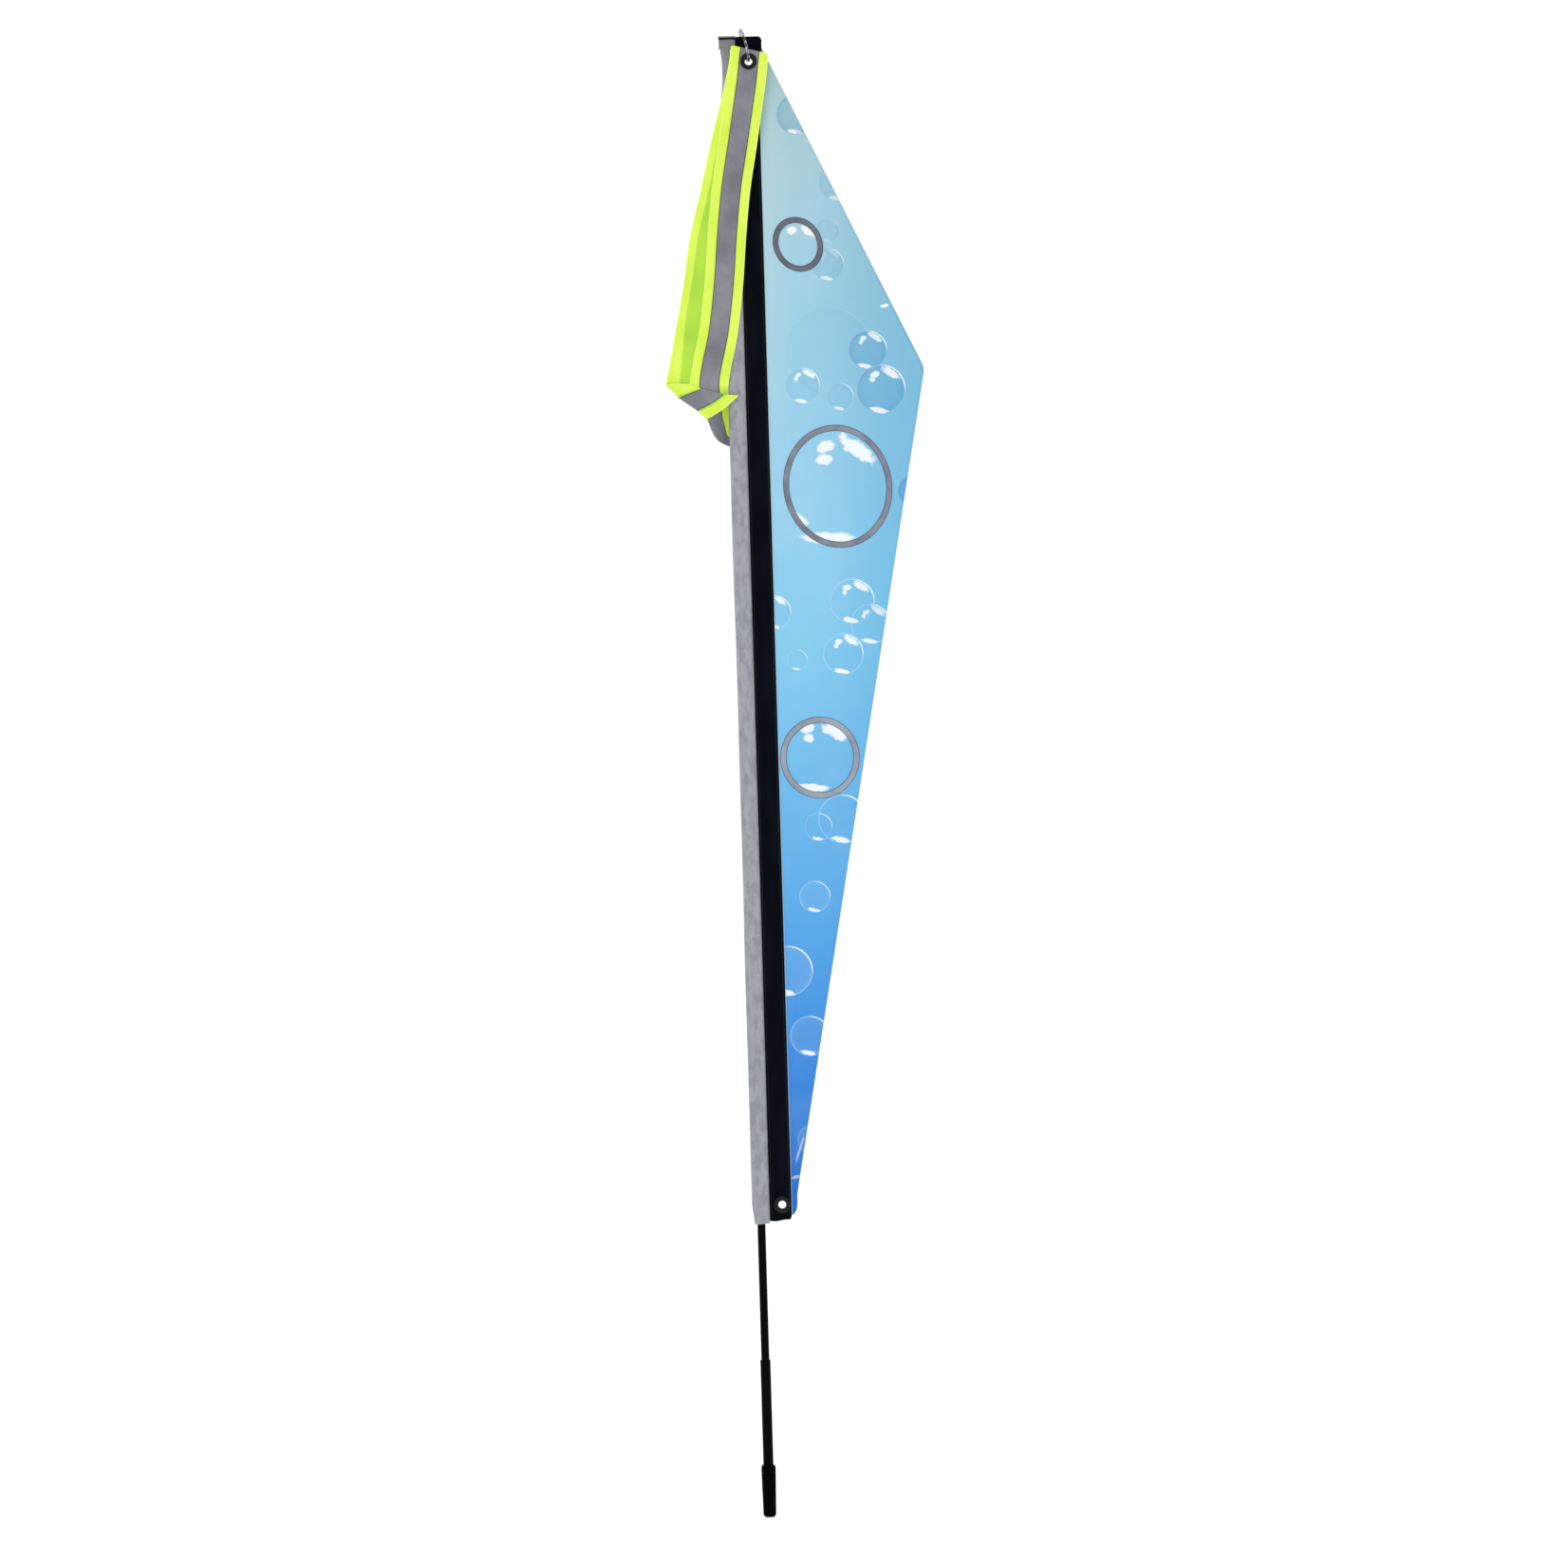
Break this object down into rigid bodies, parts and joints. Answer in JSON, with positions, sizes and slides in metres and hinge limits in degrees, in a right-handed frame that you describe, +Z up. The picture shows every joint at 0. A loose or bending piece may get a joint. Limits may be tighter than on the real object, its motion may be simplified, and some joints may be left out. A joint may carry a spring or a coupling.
{
  "type": "pole safety flag with reflective tail",
  "caption": "Tall kite-shaped safety flag sewn to a sleeve on a sectional pole, with a hi-viz tail hung from its top grommet.",
  "frame": {"origin": "centre of the foot cap's flat underside, on the pole's axis", "axes": "+Z up the pole, +X towards the flag's free corner, -Y the side that carries the tail"},
  "size_m": [0.3187, 0.0411, 1.8394],
  "materials": {
    "black_plastic": "moulded, satin",
    "black_tube": "wound tube, clear coated",
    "fibreglass": "ground rod",
    "grey_fabric": "retroreflective woven cloth",
    "black_fabric": "matt woven cloth",
    "blue_print": "dye printed polyester",
    "reflective": "glass bead reflective film",
    "neon_tape": "fluorescent knitted tape",
    "black_metal": "black oxide, satin",
    "steel": "bright nickel"
  },
  "bodies": {
    "base": {"base_cap": "black_plastic", "base_tube": "black_tube", "base_stop": "black_plastic"},
    "lower_pole": {"lower_pole_tube": "black_tube", "lower_end_plug": "black_plastic", "joint_spigot": "fibreglass"},
    "upper_pole": {"upper_pole_tube": "black_tube", "upper_end_plug": "black_plastic"},
    "flag": {"pole_sleeve": "grey_fabric", "header_front": "black_fabric", "header_back": "black_fabric", "top_webbing": "black_fabric", "flag_panel": "blue_print", "reflective_circle_upper": "reflective", "reflective_circle_middle": "reflective", "reflective_circle_lower": "reflective", "upper_grommet": "black_metal", "upper_washer": "black_metal", "lower_grommet": "black_metal", "lower_washer": "black_metal"},
    "ring": {"split_ring": "steel"},
    "tail": {"tail_front_tape": "neon_tape", "tail_front_stripe": "reflective", "tail_back_tape": "neon_tape", "tail_back_stripe": "reflective", "tail_grommet": "black_metal", "tail_washer": "black_metal"}
  },
  "joints": [
    {"name": "pole_lift", "type": "slide", "parent": "base", "child": "lower_pole", "axis": [0, 0, 1], "range_m": [0, 0.13]},
    {"name": "upper_pole_lift", "type": "slide", "parent": "lower_pole", "child": "upper_pole", "axis": [0, 0, 1], "range_m": [0, 0.085]},
    {"name": "flag_swing", "type": "hinge", "parent": "upper_pole", "child": "flag", "pos_m": [0, 0, 1], "axis": [0, 0, 1], "continuous": true},
    {"name": "ring_swing", "type": "hinge", "parent": "flag", "child": "ring", "pos_m": [0.0262, 0, 1.799], "axis": [0, 1, 0], "range_deg": [-14, 120]},
    {"name": "tail_swing", "type": "hinge", "parent": "flag", "child": "tail", "pos_m": [0.0262, 0, 1.799], "axis": [0, 1, 0], "range_deg": [0, 45]}
  ]
}
